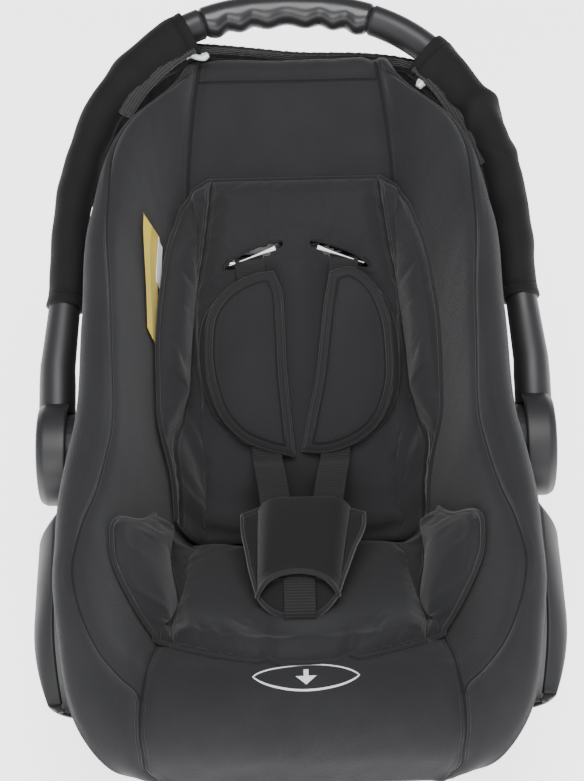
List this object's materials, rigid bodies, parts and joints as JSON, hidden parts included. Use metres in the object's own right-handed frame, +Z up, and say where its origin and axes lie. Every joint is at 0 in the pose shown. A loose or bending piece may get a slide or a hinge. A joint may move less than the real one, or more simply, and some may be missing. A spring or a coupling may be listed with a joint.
{
  "type": "infant car seat",
  "caption": "Reclined padded bowl on curved rocker sides, with a swinging carry handle on lock hubs, a folded fabric hood and a Y-shaped harness with a centre buckle.",
  "frame": {"origin": "middle of the footprint on the floor, at the bottom of the rocker feet", "axes": "+Z up, +Y from the foot end to the head end, +X to the right seen from the foot end"},
  "size_m": [0.428, 0.6276, 0.4036],
  "materials": {
    "shell": "fine grained moulding",
    "handle": "satin moulding",
    "grip": "smooth and glossy",
    "foam": "expanded bead foam",
    "cover": "woven twill",
    "insert": "woven, quilted",
    "pads": "woven, padded",
    "webbing": "woven webbing",
    "hood": "thin plain weave",
    "clear_clip": "clear moulding",
    "buckle": "smooth moulding",
    "button_red": "smooth moulding",
    "lock": "natural acetal",
    "steel": "zinc plated",
    "tag": "satin ribbon, folded and sewn",
    "hook": "smooth moulding"
  },
  "bodies": {
    "seat": {"adjuster_frame": "steel", "adjuster_pin": "steel", "adjuster_spring": "steel", "adjuster_strap": "webbing", "belt_hook": "hook", "bucket_shell": "shell", "buckle_body": "buckle", "buckle_latch": "steel", "buckle_pad": "pads", "buckle_spring": "steel", "canopy_panel": "hood", "crotch_anchor_plate": "steel", "crotch_strap": "webbing", "eps_liner": "foam", "harness_yoke": "steel", "hub_base_left": "shell", "hub_base_right": "shell", "insert_back_cushion": "insert", "insert_seat_cushion": "insert", "lock_spring_left": "steel", "lock_spring_right": "steel", "pivot_bolt_left": "steel", "pivot_bolt_right": "steel", "rocker_left": "shell", "rocker_right": "shell", "rocker_screw_left_front": "steel", "rocker_screw_left_rear": "steel", "rocker_screw_right_front": "steel", "rocker_screw_right_rear": "steel", "seat_cover": "cover", "shoulder_pad_left": "pads", "shoulder_pad_right": "pads", "shoulder_strap_left": "webbing", "shoulder_strap_right": "webbing", "side_tag": "tag"},
    "handle": {"handle_frame": "handle", "handle_grip": "grip", "handle_hub_left": "handle", "handle_hub_right": "handle", "canopy_sleeve_left": "hood", "canopy_sleeve_right": "hood", "canopy_clip_left": "clear_clip", "canopy_clip_right": "clear_clip"},
    "button_left": {"handle_button_left": "handle"},
    "button_right": {"handle_button_right": "handle"},
    "lock_left": {"lock_gear_left": "lock"},
    "lock_right": {"lock_gear_right": "lock"},
    "buckle_press": {"buckle_button": "button_red"},
    "tongue_left": {"buckle_tongue_left": "buckle"},
    "tongue_right": {"buckle_tongue_right": "buckle"},
    "adjuster": {"adjuster_lever": "buckle"}
  },
  "joints": [
    {"name": "handle_swing", "type": "hinge", "parent": "seat", "child": "handle", "pos_m": [0, -0.0565, 0.208], "axis": [1, 0, 0], "range_deg": [-50, 63], "deforming": ["canopy_panel"]},
    {"name": "button_press_left", "type": "slide", "parent": "handle", "child": "button_left", "axis": [1, 0, 0], "range_m": [0, 0.005], "stiffness_N_per_m": 200, "springref_m": -0.001},
    {"name": "button_press_right", "type": "slide", "parent": "handle", "child": "button_right", "axis": [-1, 0, 0], "range_m": [0, 0.005], "stiffness_N_per_m": 200, "springref_m": -0.001},
    {"name": "lock_slide_left", "type": "slide", "parent": "seat", "child": "lock_left", "axis": [1, 0, 0], "range_m": [0, 0.005], "stiffness_N_per_m": 1000, "springref_m": -0.003, "deforming": ["lock_spring_left"]},
    {"name": "lock_slide_right", "type": "slide", "parent": "seat", "child": "lock_right", "axis": [-1, 0, 0], "range_m": [0, 0.005], "stiffness_N_per_m": 1000, "springref_m": -0.003, "deforming": ["lock_spring_right"]},
    {"name": "buckle_button_press", "type": "slide", "parent": "seat", "child": "buckle_press", "axis": [0, 0, -1], "range_m": [0, 0.004], "stiffness_N_per_m": 1500, "springref_m": -0.001, "deforming": ["buckle_spring"]},
    {"name": "tongue_slide_left", "type": "slide", "parent": "seat", "child": "tongue_left", "axis": [0, 1, 0], "range_m": [0, 0.02], "deforming": ["shoulder_strap_left"]},
    {"name": "tongue_slide_right", "type": "slide", "parent": "seat", "child": "tongue_right", "axis": [0, 1, 0], "range_m": [0, 0.02], "deforming": ["shoulder_strap_right"]},
    {"name": "adjuster_lever_press", "type": "hinge", "parent": "seat", "child": "adjuster", "pos_m": [0, -0.2665, 0.1522], "axis": [-1, 0, 0], "range_deg": [0, 8], "stiffness_Nm_per_rad": 0.2, "springref_deg": -5.73, "deforming": ["adjuster_spring"]}
  ],
  "couplings": [
    {"joint": "lock_slide_left", "follows": "button_press_left", "ratio": 1},
    {"joint": "lock_slide_right", "follows": "button_press_right", "ratio": 1}
  ]
}
